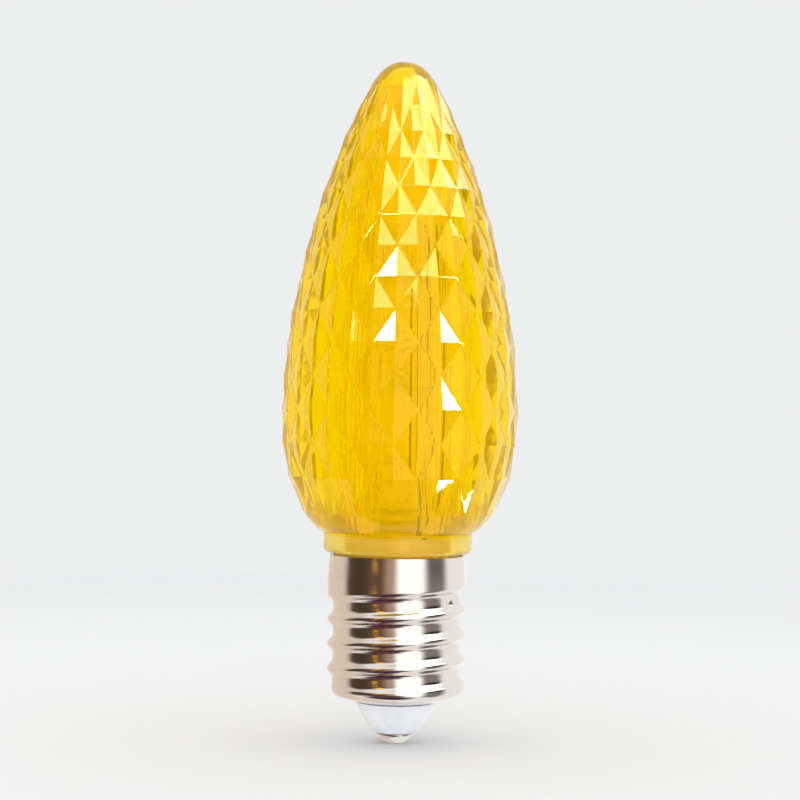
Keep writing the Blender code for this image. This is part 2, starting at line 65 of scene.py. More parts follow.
# Studio: a pale sweep that the bulb stands on, lit softly from all round and by one large lamp at the
# camera. Brown flags at the left and grey ones at the right are what bright plate mirrors as dark
# bands. Directions are azimuth to the right of the camera and elevation, in degrees.
CAMERA_PLACE = Vector((0.0, -240.0, 37.0)) * MM
CAMERA_TARGET = Vector((0.0, 0.0, 41.1)) * MM
VIEW_WIDTH = 96.5 * MM  # at the bulb's axis
CAMERA_ROLL = radians(0.85)  # the bulb leans a little to the right in the picture
PALE = "#EDEEEF"
STUDIO_LEVEL = 1.15
ROOM_LEVEL = 1.25  # what plate mirrors where no flag or box hangs
FLOOR_PAPER = "#E6E7E8"
FLOOR_RADIUS = 340.0 * MM
FLOOR_SOLID = 90.0 * MM  # from here outwards the floor melts into the sweep
FLOOR_GONE = FLOOR_RADIUS * 0.95
FLAGS_AND_BOXES = (  # azimuth, half width, elevation, half height, soft edge, colour, strength
    (-138.0, 42.0, 0.0, 70.0, 6.0, "#F2E0D2", 1.0),  # warm wall at the left, behind
    (22.0, 27.0, -3.0, 48.0, 6.0, "#FFFFFF", 1.5),  # white box in front
    (68.0, 19.0, -6.0, 40.0, 9.0, "#8C8580", 1.0),  # grey card at the right
    (68.0, 17.0, 20.0, 16.0, 8.0, "#2C2624", 1.0),  # dark card above it
    (-50.0, 45.0, 8.0, 40.0, 9.0, "#6A5140", 1.0),  # brown flag at the left
    (-66.0, 16.0, 6.0, 38.0, 12.0, "#4E412E", 1.0),  # its darkest part
    (-12.0, 8.0, 2.0, 38.0, 9.0, "#C2A088", 1.0),  # its tan edge beside the white box
    (-22.0, 36.0, -34.0, 14.0, 9.0, "#6A3A38", 1.0),  # red-brown flag low down
    (-18.0, 60.0, -66.0, 22.0, 8.0, "#452A42", 1.0),  # purple flag below that
    (-38.0, 4.0, 7.5, 2.2, 1.2, "#FFB43C", 2.2),  # painted reflection: amber patches in the surround stand in for the lens's glow in the plate
    (-38.0, 4.5, -7.8, 1.3, 0.8, "#FFB43C", 1.5),
    (-38.0, 7.0, 43.0, 11.0, 3.0, "#FFB43C", 1.6),
    (50.0, 52.0, 57.0, 17.0, 6.0, "#FFFFFF", 3.5),  # bright box high up at the right
)
FILL_TURN = 4.0
FILL_RISE = -1.0
FILL_DISTANCE = 520.0 * MM
FILL_SIZE = 300.0 * MM
FILL_POWER = 0.72  # watts
CLIP_START = 10.0 * MM


def linear(hex_colour):
    """An sRGB hex colour as the linear colour that shaders take."""
    shares = [int(hex_colour[i:i + 2], 16) / 255 for i in (1, 3, 5)]
    return (*[s / 12.92 if s <= 0.04045 else ((s + 0.055) / 1.055) ** 2.4 for s in shares], 1.0)


def add(tree, kind, inputs=(), **settings):
    """Adds a node with its settings. Each input, by name or number, gets a value or a node's output."""
    made = tree.nodes.new(f"ShaderNode{kind}")
    for name, value in settings.items():
        setattr(made, name, value)
    for key, value in dict(inputs).items():
        if isinstance(value, bpy.types.NodeSocket):
            tree.links.new(value, made.inputs[key])
        else:
            made.inputs[key].default_value = value
    return made


def emptied(tree):
    tree.nodes.clear()
    return tree


camera = bpy.data.objects.new("camera", bpy.data.cameras.new("camera"))
scene.collection.objects.link(camera)
scene.camera = camera
camera.location = CAMERA_PLACE
camera.rotation_mode = "QUATERNION"
camera.rotation_quaternion = (CAMERA_TARGET - CAMERA_PLACE).to_track_quat("-Z", "Y")
camera.rotation_quaternion @= Matrix.Rotation(CAMERA_ROLL, 3, "Z").to_quaternion()
camera.data.lens = camera.data.sensor_width * (CAMERA_TARGET - CAMERA_PLACE).length / VIEW_WIDTH
camera.data.clip_start = CLIP_START

world = bpy.data.worlds.new("studio")
scene.world = world
world.use_nodes = True
tree = emptied(world.node_tree)
direction = add(tree, "SeparateXYZ", {0: add(tree, "TexCoord").outputs["Generated"]})
towards = add(tree, "Math", {0: direction.outputs["Y"], 1: -1.0}, operation="MULTIPLY")
azimuth = add(tree, "Math", {0: direction.outputs["X"], 1: towards.outputs[0]}, operation="ARCTAN2")
elevation = add(tree, "Math", {0: direction.outputs["Z"]}, operation="ARCSINE")
mirrored = add(tree, "RGB").outputs[0]
mirrored.default_value = [share * ROOM_LEVEL for share in linear(PALE)]
for turn, half_width, rise, half_height, edge, colour, strength in FLAGS_AND_BOXES:
    cover = None
    for angle, middle, half in ((azimuth, turn, half_width), (elevation, rise, half_height)):
        off = add(tree, "Math", {0: angle.outputs[0], 1: radians(middle)}, operation="SUBTRACT")
        size = add(tree, "Math", {0: off.outputs[0]}, operation="ABSOLUTE")
        side = add(
            tree,
            "MapRange",
            {0: size.outputs[0], 1: radians(half - edge), 2: radians(half + edge), 3: 1.0, 4: 0.0},
            interpolation_type="SMOOTHSTEP",
        )
        if cover:
            side = add(tree, "Math", {0: cover.outputs[0], 1: side.outputs[0]}, operation="MULTIPLY")
        cover = side
    shade = [share * strength for share in linear(colour)[:3]]
    mixed = add(tree, "Mix", {0: cover.outputs[0], 6: mirrored, 7: (*shade, 1.0)}, data_type="RGBA")
    mirrored = mixed.outputs[2]
path = add(tree, "LightPath")
seen = add(tree, "Mix", {0: path.outputs["Is Glossy Ray"], 6: linear(PALE), 7: mirrored}, data_type="RGBA")
through = {0: path.outputs["Is Transmission Ray"], 6: seen.outputs[2], 7: linear("#FFFFFF")}
seen = add(tree, "Mix", through, data_type="RGBA")
shown = add(tree, "Background", {0: seen.outputs[2]})
lights = add(tree, "Background", {0: linear("#FFFFFF"), 1: STUDIO_LEVEL})
lit = add(tree, "MixShader", {0: path.outputs["Is Diffuse Ray"], 1: shown.outputs[0], 2: lights.outputs[0]})
add(tree, "OutputWorld", {0: lit.outputs[0]})


def hang_lamp(name, turn, rise, distance, aim, width, height, watts):
    """A soft rectangular lamp at an azimuth and elevation from what it aims at."""
    level = cos(radians(rise))
    way = Vector((sin(radians(turn)) * level, -cos(radians(turn)) * level, sin(radians(rise))))
    light = bpy.data.lights.new(name, "AREA")
    light.shape = "RECTANGLE"
    light.size = width
    light.size_y = height
    light.energy = watts
    lamp = bpy.data.objects.new(name, light)
    scene.collection.objects.link(lamp)
    lamp.location = aim + way * distance
    lamp.rotation_mode = "QUATERNION"
    lamp.rotation_quaternion = way.to_track_quat("Z", "Y")
    return lamp


bulb_middle = Vector((0.0, 0.0, (cad_low.z + cad_high.z) / 2))
fill = hang_lamp(
    "fill_lamp", FILL_TURN, FILL_RISE, FILL_DISTANCE, bulb_middle, FILL_SIZE, FILL_SIZE, FILL_POWER
)
fill.visible_glossy = False  # plate doesn't mirror it

bm = bmesh.new()
bmesh.ops.create_circle(bm, cap_ends=True, segments=96, radius=FLOOR_RADIUS)
floor_mesh = bpy.data.meshes.new("pale_floor")
bm.to_mesh(floor_mesh)
bm.free()
pale_floor = bpy.data.objects.new("pale_floor", floor_mesh)
scene.collection.objects.link(pale_floor)
sweep = bpy.data.materials.new("pale sweep")
sweep.use_nodes = True
tree = emptied(sweep.node_tree)
place = add(tree, "TexCoord").outputs["Object"]
distance = add(tree, "VectorMath", {0: place}, operation="LENGTH")
melt = add(
    tree,
    "MapRange",
    {0: distance.outputs["Value"], 1: FLOOR_SOLID, 2: FLOOR_GONE},
    interpolation_type="SMOOTHSTEP",
)
paper = add(tree, "BsdfDiffuse", {"Color": linear(FLOOR_PAPER)})
clear = add(tree, "BsdfTransparent")
blend = add(tree, "MixShader", {0: melt.outputs[0], 1: paper.outputs[0], 2: clear.outputs[0]})
add(tree, "OutputMaterial", {0: blend.outputs[0]})
floor_mesh.materials.append(sweep)
pale_floor.visible_glossy = False  # plate mirrors the flags instead
pale_floor.visible_transmission = False


# Centre contact: a rivet of brass sheet, nickel plated. Its domed head is what touches the socket; its
# shank goes up through the insulator and is clenched over inside. The plate is bright, with the faint
# scuffs of a tumbled part.
HEAD_HEIGHT = 1.1 * MM
HEAD_FACE_RADIUS = 1.0 * MM
HEAD_BULGE = 0.75  # the powers that shape its dome and rim
RIM_ROUNDNESS = 0.8
SHANK_RADIUS = 0.8 * MM
CLENCH_RADIUS = 1.35 * MM
CLENCH_HEIGHT = 0.5 * MM
NICKEL = "#E6E0DA"


def spun(profile, sides):
    """A bmesh turned round Z from (radius, height) points. Seams and poles are closed."""
    made = bmesh.new()
    verts = [made.verts.new((radius, 0.0, height)) for radius, height in profile]
    for first, second in zip(verts, verts[1:]):
        made.edges.new((first, second))
    bmesh.ops.spin(
        made,
        geom=made.verts[:] + made.edges[:],
        cent=(0.0, 0.0, 0.0),
        axis=(0.0, 0.0, 1.0),
        angle=2 * pi,
        steps=sides,
        use_merge=True,
    )
    bmesh.ops.remove_doubles(made, verts=made.verts, dist=0.001 * MM)
    bmesh.ops.recalc_face_normals(made, faces=made.faces)
    return made


def put_together(name, made, finish, replaced=(), sharp=35.0):
    """The piece that a bmesh becomes, fixed to the bulb. Edges sharper than an angle stay crisp."""
    mesh = bpy.data.meshes.new(name)
    made.to_mesh(mesh)
    made.free()
    mesh.shade_smooth()
    mesh.set_sharp_from_angle(angle=radians(sharp))
    mesh.materials.append(finish)
    piece = bpy.data.objects.new(name, mesh)
    scene.collection.objects.link(piece)
    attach(piece, "root")
    if replaced:
        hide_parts(*replaced)
    return piece


def per_mm(size):
    """A texture's scale for features of this size in millimetres."""
    return 1.0 / (size * MM)


def nickel_plate(name, roughness, grain_mm, scuff_mm):
    """Bright nickel on rolled brass: mirrors the room, broken up by the sheet's fine grain."""
    made = bpy.data.materials.new(name)
    made.use_nodes = True
    tree = emptied(made.node_tree)
    place = add(tree, "TexCoord").outputs["Object"]
    grain = add(tree, "TexNoise", {"Vector": place, "Scale": per_mm(grain_mm), "Detail": 3.0})
    scuffing = {"Vector": place, "Scale": per_mm(scuff_mm), "Detail": 5.0, "Roughness": 0.6}
    scuffs = add(tree, "TexNoise", scuffing)
    dull = add(tree, "MapRange", {0: scuffs.outputs[0], 1: 0.35, 2: 0.75, 3: roughness, 4: roughness * 2.1})
    tint = add(
        tree,
        "Mix",
        {0: scuffs.outputs[0], 6: linear(NICKEL), 7: linear("#D8D0C8")},
        data_type="RGBA",
    )
    bump = add(tree, "Bump", {"Height": grain.outputs[0], "Strength": 0.5, "Distance": 0.01 * MM})
    shader = add(
        tree,
        "BsdfPrincipled",
        {
            "Base Color": tint.outputs[2],
            "Metallic": 1.0,
            "Roughness": dull.outputs[0],
            "Normal": bump.outputs[0],
        },
    )
    add(tree, "OutputMaterial", {0: shader.outputs[0]})
    return made


shank_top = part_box("centre_contact")[1].z
head_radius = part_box("centre_contact")[1].x
profile = [(0.0, 0.0), (HEAD_FACE_RADIUS * 0.5, 0.0), (HEAD_FACE_RADIUS, 0.0)]
for step in range(1, 13):
    share = step / 16
    radius = HEAD_FACE_RADIUS + (head_radius - HEAD_FACE_RADIUS) * share**HEAD_BULGE
    profile.append((radius, HEAD_HEIGHT * share))
rim_start = profile[-1]
for step in range(1, 9):
    turn = step * pi / 16
    reach = (head_radius - rim_start[0]) * sin(turn) ** RIM_ROUNDNESS
    profile.append((rim_start[0] + reach, rim_start[1] + (HEAD_HEIGHT - rim_start[1]) * (1 - cos(turn))))
profile += [
    (head_radius - 0.12 * MM, HEAD_HEIGHT + 0.1 * MM),
    (SHANK_RADIUS, HEAD_HEIGHT + 0.12 * MM),
    (SHANK_RADIUS, shank_top - CLENCH_HEIGHT),
    (CLENCH_RADIUS, shank_top - CLENCH_HEIGHT * 0.8),
    (CLENCH_RADIUS * 0.9, shank_top - CLENCH_HEIGHT * 0.1),
    (CLENCH_RADIUS * 0.4, shank_top),
    (0.0, shank_top - CLENCH_HEIGHT * 0.3),
]
contact_plate = nickel_plate("nickel plate on the contact", 0.12, 0.12, 0.9)
put_together("contact_rivet", spun(profile, 96), contact_plate, ["centre_contact"])


# Insulator: glossy white plastic moulded in one, a bulging cone below and a retainer flange that grips
# the shell's floor above. The mould's parting shows as a hair line down the cone, a little left of the
# front, and the plastic lets a trace of light in, which cools its shadows.
HOLE_RADIUS = 4.85 * MM  # of the hole in the shell's floor
SHEET = 0.3 * MM  # thickness of the shell
CONE_TOP_INSET = 0.05 * MM
CONE_BULGE = 0.75
CONE_LIP = 0.3 * MM
THROAT_GAP = 0.3 * MM
RETAINER_HEIGHT = 0.95 * MM
RETAINER_CHAMFER = 0.15 * MM
RIVET_GAP = 0.3 * MM
PARTING_ANGLE = -pi / 2 - radians(16.5)
PARTING_LEAN = radians(1.7)  # per millimetre of height
PARTING_WIDTH = 0.11 * MM
PARTING_DEPTH = 0.15 * MM
PARTING_START = 1.0 * MM  # above the cone's foot
WHITE_PLASTIC = "#F8FAFF"
WHITE_CLOUD = "#EEF1F8"

insulator_low, insulator_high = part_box("tip_insulator")
shell_low, shell_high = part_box("screw_shell")
cone_low = insulator_low.z
cone_high = shell_low.z - 0.06 * MM
cone_tip = head_radius + CONE_LIP
cone_top = HOLE_RADIUS - CONE_TOP_INSET
retainer_radius = insulator_high.x
profile = [
    (SHANK_RADIUS + RIVET_GAP, insulator_high.z),
    (retainer_radius - RETAINER_CHAMFER, insulator_high.z),
    (retainer_radius, insulator_high.z - RETAINER_CHAMFER),
    (retainer_radius, insulator_high.z - RETAINER_HEIGHT),
    (HOLE_RADIUS - THROAT_GAP, shell_low.z + SHEET + THROAT_GAP),
    (HOLE_RADIUS - THROAT_GAP, cone_high),
]
for step in range(0, 33):
    share = 1.0 - step / 32
    radius = cone_tip + (cone_top - cone_tip) * share**CONE_BULGE
    profile.append((radius, cone_low + (cone_high - cone_low) * share))
profile += [
    (cone_tip - 0.05 * MM, cone_low - 0.1 * MM),
    (cone_tip - 0.14 * MM, cone_low - 0.16 * MM),
    (head_radius - 0.25 * MM, cone_low - 0.12 * MM),
    (SHANK_RADIUS + RIVET_GAP, cone_low - 0.12 * MM),
    (SHANK_RADIUS + RIVET_GAP, insulator_high.z),
]
cone = spun(profile, 540)
for vert in cone.verts:
    radius = vert.co.to_2d().length
    if radius > head_radius - 0.2 * MM and vert.co.z < cone_high:
        height = vert.co.z - cone_low
        line = PARTING_ANGLE - PARTING_LEAN * height / MM
        off = (atan2(vert.co.y, vert.co.x) - line + pi) % (2 * pi) - pi
        fade_in = min(max(height / PARTING_START, 0.0), 1.0)
        sunk = PARTING_DEPTH * fade_in * exp(-((off * radius / PARTING_WIDTH) ** 2))
        vert.co.xy *= (radius - sunk) / radius

white_plastic = bpy.data.materials.new("moulded white plastic")
white_plastic.use_nodes = True
tree = emptied(white_plastic.node_tree)
place = add(tree, "TexCoord").outputs["Object"]
cloud = add(tree, "TexNoise", {"Vector": place, "Scale": per_mm(2.5), "Detail": 3.0})
skin = add(tree, "TexNoise", {"Vector": place, "Scale": per_mm(0.35), "Detail": 2.0})
whites = {0: cloud.outputs[0], 6: linear(WHITE_PLASTIC), 7: linear(WHITE_CLOUD)}
tint = add(tree, "Mix", whites, data_type="RGBA")
gloss = add(tree, "MapRange", {0: cloud.outputs[0], 3: 0.1, 4: 0.2})
bump = add(tree, "Bump", {"Height": skin.outputs[0], "Strength": 0.12, "Distance": 0.01 * MM})
shader = add(
    tree,
    "BsdfPrincipled",
    {
        "Base Color": tint.outputs[2],
        "Roughness": gloss.outputs[0],
        "IOR": 1.5,
        "Subsurface Weight": 0.15,
        "Subsurface Radius": (0.5, 0.6, 0.8),
        "Subsurface Scale": 1.0 * MM,
        "Normal": bump.outputs[0],
    },
)
add(tree, "OutputMaterial", {0: shader.outputs[0]})
put_together("insulator_cone", cone, white_plastic, ["tip_insulator"])


# Screw shell: thin brass sheet drawn to a cup, its right-hand thread rolled in, then nickel plated.
# The rolled crests are tighter than the roots, the groove runs out at both ends, and one small dent
# at the right pins the shell to the lens. The plate is a mirror with fine orange peel.
CREST_RADIUS = 8.33 * MM
THREAD_DEPTH = 0.66 * MM
THREAD_PITCH = 2.96 * MM
THREAD_START = 7.32 * MM  # height of a crest on the +X side
THREAD_BOTTOM = 6.7 * MM
THREAD_TOP = 18.9 * MM
ROOT_FLATNESS = 4.4
FLOOR_EDGE = 7.0 * MM
FLOOR_RISE = 0.7 * MM
RIM_RADIUS = 8.15 * MM
COLLAR_SWELL = 0.07 * MM
COLLAR_FADE = 1.5 * MM
SHELL_ROWS = 150
DENT_ANGLE = -pi / 2 + radians(54.7)
DENT_HEIGHT = 17.05 * MM
DENT_RADIUS = 0.75 * MM
DENT_DEPTH = 0.34 * MM


def groove_depth(angle, z):
    """How far the rolled groove goes in, measured from the crests."""
    turned = angle / (2 * pi)
    turn = (z - THREAD_START) / THREAD_PITCH - turned
    root = THREAD_START + THREAD_PITCH * (floor(turn) + 0.5 + turned)
    fade = THREAD_PITCH / 3
    strength = min(max(min(THREAD_TOP - root, root - THREAD_BOTTOM + fade / 3) / fade, 0.0), 1.0)
    strength = strength * strength * (3 - 2 * strength)
    return THREAD_DEPTH * strength * (1 - abs(cos(pi * turn)) ** ROOT_FLATNESS)


def blank_radius(z):
    """The drawn cup before its thread is rolled: a barrel-shaped collar that runs into the crests."""
    down = min((shell_high.z - z) / (shell_high.z - THREAD_TOP + COLLAR_FADE), 1.0)
    ease = down * down * (3 - 2 * down)
    barrel = COLLAR_SWELL * sin(pi * min(down * 1.15, 1.0))
    return RIM_RADIUS + (CREST_RADIUS - RIM_RADIUS) * ease + barrel


wall_height = shell_high.z - THREAD_BOTTOM
profile = []
for row in range(SHELL_ROWS + 1):
    z = shell_high.z - wall_height * row / SHELL_ROWS
    profile.append((blank_radius(z), z))
drop = THREAD_BOTTOM - shell_low.z - FLOOR_RISE
for step in range(1, 13):
    angle = step * pi / 24
    reach = (CREST_RADIUS - FLOOR_EDGE) * cos(angle)
    profile.append((FLOOR_EDGE + reach, THREAD_BOTTOM - drop * sin(angle)))
for step in range(1, 5):
    share = step / 4
    radius = FLOOR_EDGE + (HOLE_RADIUS - FLOOR_EDGE) * share
    profile.append((radius, shell_low.z + FLOOR_RISE * (1 - share)))
shell = spun(profile, 240)
for vert in shell.verts:
    radius = vert.co.to_2d().length
    angle = atan2(vert.co.y, vert.co.x)
    if radius > FLOOR_EDGE + 0.01 * MM:
        depth = groove_depth(angle, max(vert.co.z, THREAD_BOTTOM))
        radius -= depth * (radius - FLOOR_EDGE) / (CREST_RADIUS - FLOOR_EDGE)
    away = ((angle - DENT_ANGLE + pi) % (2 * pi) - pi) * radius
    from_dent = (away**2 + (vert.co.z - DENT_HEIGHT) ** 2) / DENT_RADIUS**2
    radius -= DENT_DEPTH * exp(-from_dent)
    vert.co.x = radius * cos(angle)
    vert.co.y = radius * sin(angle)
shell_plate = nickel_plate("nickel plate on the screw shell", 0.09, 0.16, 2.2)
screw_shell = put_together("rolled_shell", shell, shell_plate, ["screw_shell"], sharp=60.0)
sheet = screw_shell.modifiers.new("sheet", "SOLIDIFY")
sheet.thickness = SHEET
sheet.offset = -1.0


# Solder and leads: a tin blob holds one lead on the rivet's clenched end and another holds the second
# lead on the shell's wall. The leads are stranded wire in soft coloured sleeves.
def solid_finish(name, colour, second, patch_mm, roughness, metallic=0.0, coat=0.0):
    """A plain finish whose colour and gloss drift in patches of a real size."""
    made = bpy.data.materials.new(name)
    made.use_nodes = True
    tree = emptied(made.node_tree)
    place = add(tree, "TexCoord").outputs["Object"]
    drift = add(tree, "TexNoise", {"Vector": place, "Scale": per_mm(patch_mm), "Detail": 4.0})
    tint = add(tree, "Mix", {0: drift.outputs[0], 6: linear(colour), 7: linear(second)}, data_type="RGBA")
    gloss = add(tree, "MapRange", {0: drift.outputs[0], 3: roughness * 0.8, 4: roughness * 1.25})
    bump = add(tree, "Bump", {"Height": drift.outputs[0], "Strength": 0.2, "Distance": 0.02 * MM})
    shader = add(
        tree,
        "BsdfPrincipled",
        {
            "Base Color": tint.outputs[2],
            "Metallic": metallic,
            "Roughness": gloss.outputs[0],
            "Coat Weight": coat,
            "Normal": bump.outputs[0],
        },
    )
    add(tree, "OutputMaterial", {0: shader.outputs[0]})
    return made


TIN = "#C9CBCE"


def dressed(node, finish):
    """Gives a piece of the CAD model its real finish."""
    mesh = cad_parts[node].data
    mesh.materials.clear()
    mesh.materials.append(finish)


tin_solder = solid_finish("tin solder", TIN, "#A9ABAF", 0.4, 0.22, metallic=1.0)
dressed("tip_solder", tin_solder)
dressed("shell_solder", tin_solder)
dressed("tip_lead", solid_finish("white sleeve", "#E4E3DE", "#D6D4CC", 1.5, 0.45))
dressed("shell_lead", solid_finish("red sleeve", "#B3231C", "#9A1C17", 1.5, 0.45))


# Board carrier: a plug of cream plastic that stops the lens's neck and grips the board in a slot. It
# shows through the neck as a warm pale band.
dressed("board_carrier", solid_finish("cream plastic", "#F6ECDA", "#EEE2CA", 1.2, 0.4))


# Circuit board: glass-epoxy under white solder mask, with a dark brown strip along its right
# edge. Tinned pads hold the LEDs on both faces.
BOARD_CORNER = 0.8 * MM
DARK_STRIP_WIDTH = 0.6 * MM  # width of the dark strip
PAD_HEIGHT = 0.12 * MM
PAD_UNDERLAP = 0.15 * MM  # from the LED's edge in to the pad's middle
PAD_SIZE = (1.1 * MM, 2.6 * MM)
LED_NODES = [f"led_{number}" for number in range(1, 6)]

board_low, board_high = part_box("circuit_board")
board = bmesh.new()
board_size = board_high - board_low
board_middle = (board_high + board_low) / 2
placed = Matrix.Translation(board_middle) @ Matrix.Diagonal((*board_size, 1.0))
bmesh.ops.create_cube(board, size=1.0, matrix=placed)
through = [e for e in board.edges if abs(e.verts[0].co.y - e.verts[1].co.y) > board_size.y / 2]
corners = [edge for edge in through if all(v.co.z > board_middle.z for v in edge.verts)]
bmesh.ops.bevel(
    board, geom=corners, offset=BOARD_CORNER, offset_type="OFFSET", segments=1, profile=0.5,
    affect="EDGES", material=-1,
)
bmesh.ops.bevel(
    board, geom=board.edges[:], offset=0.04 * MM, offset_type="OFFSET", segments=1, profile=0.5,
    affect="EDGES", material=-1,
)

white_mask = bpy.data.materials.new("white mask on glass-epoxy")
white_mask.use_nodes = True
tree = emptied(white_mask.node_tree)
place = add(tree, "TexCoord").outputs["Object"]
across = add(tree, "SeparateXYZ", {0: place})
mask_edge = board_high.x - DARK_STRIP_WIDTH
in_from_edge = add(tree, "Math", {0: mask_edge, 1: across.outputs["X"]}, operation="SUBTRACT")
masked = add(tree, "MapRange", {0: in_from_edge.outputs[0], 1: -0.03 * MM, 2: 0.03 * MM})
weave = add(tree, "TexNoise", {"Vector": place, "Scale": per_mm(0.2), "Detail": 2.0})
# the dark brown strip along the board's right edge
dark_strip = add(tree, "Mix", {0: weave.outputs[0], 6: linear("#3A2A12"), 7: linear("#241A0C")}, data_type="RGBA")
mask = add(tree, "Mix", {0: weave.outputs[0], 6: linear("#F2F2EC"), 7: linear("#E8E8E0")}, data_type="RGBA")
tint = add(tree, "Mix", {0: masked.outputs[0], 6: dark_strip.outputs[2], 7: mask.outputs[2]}, data_type="RGBA")
bump = add(tree, "Bump", {"Height": weave.outputs[0], "Strength": 0.2, "Distance": 0.01 * MM})
shader = add(
    tree,
    "BsdfPrincipled",
    {"Base Color": tint.outputs[2], "Roughness": 0.35, "Normal": bump.outputs[0]},
)
add(tree, "OutputMaterial", {0: shader.outputs[0]})
put_together("masked_board", board, white_mask, ["circuit_board"], sharp=20.0)

pads = bmesh.new()
for led in LED_NODES:
    low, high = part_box(led)
    centre = (low + high) / 2
    side = 1.0 if centre.y > 0 else -1.0
    for hand in (-1.0, 1.0):
        pad_off = side * (board_size.y / 2 + PAD_HEIGHT / 2)
        pad_middle = Vector((hand * (high.x - PAD_UNDERLAP), pad_off, centre.z))
        pad_size = (PAD_SIZE[0], PAD_HEIGHT, PAD_SIZE[1])
        bmesh.ops.create_cube(
            pads, size=1.0, matrix=Matrix.Translation(pad_middle) @ Matrix.Diagonal((*pad_size, 1.0))
        )
bmesh.ops.bevel(
    pads, geom=pads.edges[:], offset=0.05 * MM, offset_type="OFFSET", segments=2, profile=0.5,
    affect="EDGES", material=-1,
)
put_together("solder_pads", pads, tin_solder)


# LEDs: five square white packages. Each has a round cup with a resin lens over its chip, and a tinned
# terminal wraps round either side. Three face the front and two the back.
PACKAGE_BEVEL = 0.18 * MM
WINDOW_RADIUS = 2.0 * MM
WINDOW_DEPTH = 0.35 * MM
TERMINAL_WIDTH = 2.2 * MM
TERMINAL_SHEET = 0.12 * MM

package_white = solid_finish("LED package, white", "#F1F0E6", "#E6E4D8", 0.8, 0.3)
resin_lenses = bmesh.new()
terminals = bmesh.new()
for led in LED_NODES:
    low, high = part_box(led)
    centre = (low + high) / 2
    side = 1.0 if centre.y > 0 else -1.0
    half = (high.x - low.x) / 2
    height = high.y - low.y
    facing = Matrix.Rotation(side * pi / 2, 4, "X") @ Matrix.Scale(-1.0, 4, (0, 0, 1))
    outward = Matrix.Translation(centre) @ facing
    package = spun(
        [
            (0.0, height / 2 - WINDOW_DEPTH),
            (WINDOW_RADIUS * 0.86, height / 2 - WINDOW_DEPTH),
            (WINDOW_RADIUS, height / 2),
            (half, height / 2),
            (half, -height / 2),
            (0.0, -height / 2),
        ],
        48,
    )
    for vert in package.verts:
        if vert.co.to_2d().length > half * 0.99:
            angle = atan2(vert.co.y, vert.co.x)
            vert.co.xy *= 1.0 / max(abs(cos(angle)), abs(sin(angle)))
    outer = [e for e in package.edges if e.is_manifold and e.verts[0].co.to_2d().length > half * 0.9]
    rim = [edge for edge in outer if edge.calc_face_angle() > radians(60)]
    bmesh.ops.bevel(
        package, geom=rim, offset=PACKAGE_BEVEL, offset_type="OFFSET", segments=2, profile=0.5,
        affect="EDGES", material=-1,
    )
    bmesh.ops.transform(package, matrix=outward, verts=package.verts)
    bmesh.ops.recalc_face_normals(package, faces=package.faces)
    put_together(f"package_{led}", package, package_white, [led])

    dome = bmesh.new()
    bmesh.ops.create_uvsphere(dome, u_segments=32, v_segments=16, radius=WINDOW_RADIUS * 0.84)
    bmesh.ops.transform(dome, matrix=Matrix.Diagonal((1.0, 1.0, 0.2, 1.0)), verts=dome.verts)
    seat = Vector((0.0, 0.0, height / 2 - WINDOW_DEPTH * 0.85))
    bmesh.ops.transform(dome, matrix=outward @ Matrix.Translation(seat), verts=dome.verts)
    bmesh.ops.recalc_face_normals(dome, faces=dome.faces)
    domed = bpy.data.meshes.new("dome")
    dome.to_mesh(domed)
    dome.free()
    resin_lenses.from_mesh(domed)
    bpy.data.meshes.remove(domed)

    for hand in (-1.0, 1.0):
        tab_middle = Vector((hand * (half + TERMINAL_SHEET / 2), 0.0, -height * 0.15))
        tab_size = (TERMINAL_SHEET, TERMINAL_WIDTH, height * 0.6)
        bmesh.ops.create_cube(
            terminals,
            size=1.0,
            matrix=outward @ Matrix.Translation(tab_middle) @ Matrix.Diagonal((*tab_size, 1.0)),
        )
bmesh.ops.recalc_face_normals(terminals, faces=terminals.faces)
pale_resin = solid_finish("pale resin", "#F4EBC4", "#EADFB0", 0.6, 0.12, coat=0.5)
put_together("led_resin", resin_lenses, pale_resin)
put_together("led_terminals", terminals, tin_solder)


# Small parts: a black epoxy bridge rectifier and a red dipped film capacitor below the carrier, and
# above it two chips with tinned ends and a banded axial resistor, all standing on the board.
def ended_finish(name, body, second, node, axis, end_share):
    """A part's body colour, with tinned metal over both its ends along one axis."""
    made = solid_finish(name, body, second, 0.5, 0.35)
    tree = made.node_tree
    shader = next(n for n in tree.nodes if n.type == "BSDF_PRINCIPLED")
    body_colour = shader.inputs["Base Color"].links[0].from_socket
    low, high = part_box(node)
    place = add(tree, "SeparateXYZ", {0: add(tree, "TexCoord").outputs["Object"]})
    middle = (low[axis] + high[axis]) / 2
    off = add(tree, "Math", {0: place.outputs[axis], 1: middle}, operation="SUBTRACT")
    size = add(tree, "Math", {0: off.outputs[0]}, operation="ABSOLUTE")
    reach = (high[axis] - low[axis]) * end_share
    end = add(tree, "Math", {0: size.outputs[0], 1: reach}, operation="GREATER_THAN")
    tint = add(tree, "Mix", {0: end.outputs[0], 6: body_colour, 7: linear(TIN)}, data_type="RGBA")
    tree.links.new(tint.outputs[2], shader.inputs["Base Color"])
    tree.links.new(end.outputs[0], shader.inputs["Metallic"])
    return made


dressed("bridge_rectifier", ended_finish("black epoxy", "#262626", "#1C1C1C", "bridge_rectifier", 0, 0.37))
dressed("film_capacitor", solid_finish("red dipped epoxy", "#A8321F", "#8F2818", 2.0, 0.22, coat=0.6))
dressed("bleed_resistor", ended_finish("black glaze", "#2A2A2C", "#202022", "bleed_resistor", 0, 0.4))
tan_ceramic = ended_finish("tan ceramic", "#A88962", "#99794F", "smoothing_capacitor", 0, 0.38)
dressed("smoothing_capacitor", tan_ceramic)

